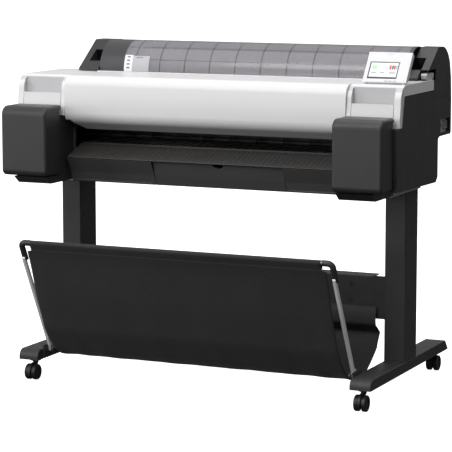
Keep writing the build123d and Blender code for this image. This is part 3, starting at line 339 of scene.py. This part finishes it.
# a few pieces look different from the rest of their slot
PIECE_FINISHES = {
    # the end covers carry painted shade on the back wall of their pocket
    "left_end_cover": moulded("end_cover_white_left", WHITE, *SATIN, POCKET_WALL_SHADE),
    "right_end_cover": moulded("end_cover_white_right", WHITE, *SATIN, POCKET_WALL_SHADE),
    "cover_edge_guide": moulded("edge_guide_white", WHITE, *SATIN, GUIDE_PLATE),
    "pocket_panels": moulded("pocket_panel_white", (0.74, 0.74, 0.75), *SATIN),
    "front_fascia": moulded("fascia_grain", LOWER_FRONT_GREY, 0.44, 1500.0, 0.00016),
    "front_hatch": moulded("hatch_grain", LOWER_FRONT_GREY, 0.44, 1500.0, 0.00016),
    "pinch_rollers": rubber("pinch_roller_nylon", (0.03, 0.03, 0.032), 0.5),
    "output_guide": moulded("guide_grain", (0.058, 0.054, 0.050), 0.5, 1500.0, 0.00016),
    "interface_panel": brushed("panel_steel", (0.72, 0.73, 0.75), 0.4, (0, 0, 0), 0.05, 0.5),
}

for part in frame["record"]["subparts"]:
    piece = NODES[part["node"]]
    piece.data.materials.clear()
    piece.data.materials.append(PIECE_FINISHES.get(part["node"]) or FINISHES[part["material_slot"]])


# ---- mesh helpers -----------------------------------------------------------------------
def add_piece(name, verts, faces, slot, materials=None, body=None, smooth=False):
    """New mesh piece with a material, riding on a body if one is named."""
    mesh = bpy.data.meshes.new(name)
    mesh.from_pydata([tuple(v) for v in verts], [], faces)
    mesh.validate()
    if smooth:
        mesh.polygons.foreach_set("use_smooth", [True] * len(mesh.polygons))
    piece = bpy.data.objects.new(name, mesh)
    bpy.context.scene.collection.objects.link(piece)
    for material in materials or [FINISHES[slot]]:
        mesh.materials.append(material)
    if body:
        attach(piece, body)
    return piece


def flowing(points, count):
    """Evenly spaced points on a smooth line through the given (y, z) points."""
    knots = np.array(points, float)
    padded = np.vstack([2 * knots[0] - knots[1], knots, 2 * knots[-1] - knots[-2]])
    line = []
    for a, b, c, d in zip(padded, padded[1:], padded[2:], padded[3:]):
        for t in np.linspace(0, 1, 24, endpoint=False):
            line.append(0.5 * (2 * b + (c - a) * t + (2 * a - 5 * b + 4 * c - d) * t ** 2
                               + (3 * b - a - 3 * c + d) * t ** 3))
    line = np.array(line + [knots[-1]])
    along = np.concatenate([[0], np.cumsum(np.linalg.norm(np.diff(line, axis=0), axis=1))])
    even = np.linspace(0, along[-1], count)
    return np.stack([np.interp(even, along, line[:, k]) for k in (0, 1)], axis=1), along[-1]


# ---- basket cloth -----------------------------------------------------------------------
# One piece of fabric: hemmed round the front rod, down the front, and up to the cross beam.
CLOTH_HALF = 0.498
HEM_HALF = 0.484              # the hem is narrower, so that the elbows have room
HEM_RADIUS = 0.0083
HEM_END = 0.437               # height where the sheet reaches its full width
HEM_BACK = -0.39              # depth that the hem round the rod stays in front of
CLOTH_THICKNESS = 0.0011
HELD_LENGTH = 0.09            # the cloth doesn't move off its line this far from the rod
FRONT_EASE, REAR_EASE = 0.06, 0.08
COLUMNS, ROWS = 160, 240


def cloth_profile():
    """(y, z) points of the cloth from its hem behind the rod to the beam."""
    hem_end = (-0.4015, 0.4440)
    round_rod = []
    for turn in (320, 0, 40, 80, 120, 160, 200):
        angle = math.radians(turn)
        round_rod.append((ROD[0] + HEM_RADIUS * math.cos(angle), ROD[1] + HEM_RADIUS * math.sin(angle)))
    front = [(-0.4105, 0.4430), (-0.3955, 0.4080), (-0.3735, 0.3450), (-0.3525, 0.2860), (-0.3195, 0.2110),
             (-0.2980, 0.1690), (-0.2500, 0.1130)]
    rear = [(-0.2400, 0.1030), (-0.2010, 0.0805), (-0.1550, 0.0675), (-0.1050, 0.0625), (-0.0450, 0.0885),
            (0.0200, 0.1290), (0.0315, 0.1457), (0.0430, 0.1623), (0.0533, 0.1773), (0.0543, 0.1795),
            (0.0532, 0.1808), (0.0415, 0.1895), (0.0275, 0.2000), (0.0130, 0.2110), (0.0125, 0.2430),
            (0.0215, 0.2640)]
    return [hem_end] + round_rod + front + rear


def build_cloth():
    line, length = flowing(cloth_profile(), ROWS)
    step = np.gradient(line, axis=0)
    step /= np.linalg.norm(step, axis=1)[:, None]
    outward = np.stack([-step[:, 1], step[:, 0]], axis=1)
    verts, sizes = [], []
    down = np.linspace(0, length, ROWS)
    free = np.clip((down - HELD_LENGTH) / FRONT_EASE, 0, 1)
    free *= np.clip((length - down) / REAR_EASE, 0, 1)
    for row in range(ROWS):
        v = row / (ROWS - 1)
        half = HEM_HALF if line[row][0] < HEM_BACK and line[row][1] > HEM_END else CLOTH_HALF
        for column in range(COLUMNS):
            u = 2 * column / (COLUMNS - 1) - 1
            x = u * half
            # tension folds that fan out from the two elbows, and a shallow sag in between
            fold = 0.0011 * math.sin(30 * (1 - abs(u)) + 9 * v) * math.exp(-6.5 * (1 - abs(u)))
            fold += 0.0004 * math.sin(17 * u + 4 * v) + 0.0003 * math.sin(31 * u - 5 * v + 1.3)
            sag = 0.0030 * (1 - u * u) * math.sin(math.pi * min(1.0, v * 1.6)) ** 2
            shift = free[row] * (fold - sag)
            y, z = line[row] + outward[row] * shift
            verts.append((x, y, z))
            sizes.append((x, v * length))
    faces = []
    for row in range(ROWS - 1):
        for column in range(COLUMNS - 1):
            a = row * COLUMNS + column
            faces.append((a, a + 1, a + COLUMNS + 1, a + COLUMNS))
    cloth = add_piece("basket_cloth", verts, faces, "black_cloth", smooth=True)
    layer = cloth.data.uv_layers.new(name="cloth_measure")
    for loop in cloth.data.loops:
        layer.data[loop.index].uv = sizes[loop.vertex_index]
    solid = cloth.modifiers.new("thickness", "SOLIDIFY")
    solid.thickness = CLOTH_THICKNESS
    solid.offset = 0.0
    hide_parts("basket_front_cloth", "basket_rear_cloth")
    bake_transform(cloth)


build_cloth()


# ---- picture on the display -------------------------------------------------------------
PANEL_UP = (PANEL_HEAD - PANEL_FOOT).normalized()
PANEL_OUT = Vector((1, 0, 0)).cross(PANEL_UP)


def on_panel(x, up, lift):
    return PANEL_FOOT + Vector((x, 0, 0)) + PANEL_UP * up + PANEL_OUT * lift


PAGE_LIFT, TILE_LIFT = 0.00005, 0.00012
CORNER_CUT = 0.0006


def build_display():
    """Generic picture of plain tiles under the glass."""
    page = lit("display_page", (0.80, 0.82, 0.84), 0.35)
    green = lit("display_green", (0.45, 0.72, 0.48), 0.3)
    red = lit("display_red", (0.55, 0.12, 0.1), 0.25)
    grey = lit("display_grey", (0.42, 0.45, 0.5), 0.25)
    dark = lit("display_dark", (0.10, 0.10, 0.12), 0.2)
    blue = lit("display_blue", (0.35, 0.42, 0.66), 0.25)
    materials = [page, green, red, grey, dark, blue]
    # share of the screen from its lower left corner: left, bottom, width, height, material
    tiles = [(0.035, 0.05, 0.93, 0.90, 0), (0.09, 0.55, 0.17, 0.24, 1), (0.68, 0.56, 0.07, 0.24, 2),
             (0.77, 0.56, 0.05, 0.24, 4), (0.83, 0.56, 0.06, 0.24, 2), (0.90, 0.56, 0.05, 0.24, 5),
             (0.09, 0.31, 0.17, 0.09, 3), (0.40, 0.31, 0.14, 0.09, 3), (0.70, 0.31, 0.22, 0.09, 3),
             (0.035, 0.05, 0.93, 0.055, 4)]
    verts, faces, owners = [], [], []
    for order, (left, bottom, width, height, owner) in enumerate(tiles):
        layer = SCREEN_FACE + (PAGE_LIFT if order == 0 else TILE_LIFT)
        corners = []
        for sx, sy in ((0, 0), (1, 0), (1, 1), (0, 1)):
            corners.append((SCREEN_CENTRE[0] + (left + sx * width - 0.5) * SCREEN_SIZE[0],
                            SCREEN_CENTRE[1] + (bottom + sy * height - 0.5) * SCREEN_SIZE[1]))
        ring = []
        for index, (x, up) in enumerate(corners):
            sx = CORNER_CUT if index in (0, 3) else -CORNER_CUT
            sy = CORNER_CUT if index in (0, 1) else -CORNER_CUT
            pair = [(x + sx, up), (x, up + sy)]
            ring += pair if index in (1, 3) else pair[::-1]
        base = len(verts)
        verts += [on_panel(x, up, layer) for x, up in ring]
        faces.append(tuple(range(base, base + len(ring))))
        owners.append(owner)
    piece = add_piece("display_picture", verts, faces, "screen_glass", materials, "operation_panel")
    for polygon, owner in zip(piece.data.polygons, owners):
        polygon.material_index = owner


build_display()


# ---- floor, light and camera ------------------------------------------------------------
FLOOR_REACH = 40.0
BACKDROP_STRENGTH = 1.3
SKY = {"From Min": -0.25, "From Max": 0.85, "To Min": 0.05, "To Max": 0.66}
CAMERA_PLACE = (2.770, -6.153, 1.4385)
CAMERA_TILT, CAMERA_TURN = 82.012, 24.286
# name, place, target, size and power
LIGHTS = (("front_softbox", (-0.6, -4.4, 4.2), (0, 0, 0.75), (3.6, 2.2), 115),
          ("left_softbox", (-4.2, -3.2, 1.6), (0, 0, 0.7), (2.0, 2.4), 75),
          ("low_front_softbox", (-0.5, -5.0, 0.9), (0, 0, 0.5), (3.4, 1.2), 32),
          ("top_softbox", (0.3, 0.0, 4.2), (0, 0, 0.9), (3.0, 2.0), 48))


def build_floor():
    reach = FLOOR_REACH
    mesh = bpy.data.meshes.new("studio_floor")
    mesh.from_pydata([(-reach, -reach, 0), (reach, -reach, 0), (reach, reach, 0), (-reach, reach, 0)],
                     [], [(0, 1, 2, 3)])
    floor = bpy.data.objects.new("studio_floor", mesh)
    bpy.context.scene.collection.objects.link(floor)
    mesh.materials.append(pale_floor("pale_floor"))
    floor.visible_diffuse = False
    floor.visible_glossy = False


def build_world():
    """White backdrop for the camera; soft light that fades towards the ground for the rest."""
    world = bpy.data.worlds.new("studio")
    world.use_nodes = True
    bpy.context.scene.world = world
    tree = world.node_tree
    nodes, links = tree.nodes, tree.links
    back = nodes["Background"]
    axes = nodes.new("ShaderNodeSeparateXYZ")
    links.new(nodes.new("ShaderNodeTexCoord").outputs["Generated"], axes.inputs[0])
    ramp = nodes.new("ShaderNodeMapRange")
    ramp.interpolation_type = "SMOOTHSTEP"
    links.new(axes.outputs["Z"], ramp.inputs["Value"])
    for key, value in SKY.items():
        ramp.inputs[key].default_value = value
    path = nodes.new("ShaderNodeLightPath")
    choose = nodes.new("ShaderNodeMix")
    links.new(path.outputs["Is Camera Ray"], choose.inputs[0])
    links.new(ramp.outputs["Result"], choose.inputs[2])
    choose.inputs[3].default_value = BACKDROP_STRENGTH
    links.new(choose.outputs[0], back.inputs["Strength"])
    back.inputs["Color"].default_value = (1, 1, 1, 1)


def add_light(name, place, target, size, power):
    light = bpy.data.lights.new(name, "AREA")
    light.shape = "RECTANGLE"
    light.size, light.size_y = size
    light.energy = power
    holder = bpy.data.objects.new(name, light)
    bpy.context.scene.collection.objects.link(holder)
    holder.location = place
    holder.rotation_euler = (Vector(target) - Vector(place)).to_track_quat("-Z", "Y").to_euler()


def build_camera():
    lens = bpy.data.cameras.new("camera")
    lens.lens = 171.0
    lens.sensor_width = 36.0
    camera = bpy.data.objects.new("camera", lens)
    bpy.context.scene.collection.objects.link(camera)
    camera.location = CAMERA_PLACE
    camera.rotation_euler = (math.radians(CAMERA_TILT), 0, math.radians(CAMERA_TURN))
    lens.clip_end = 200.0
    bpy.context.scene.camera = camera


build_floor()
build_world()
for light in LIGHTS:
    add_light(*light)
build_camera()
bpy.context.scene.view_settings.view_transform = "Standard"
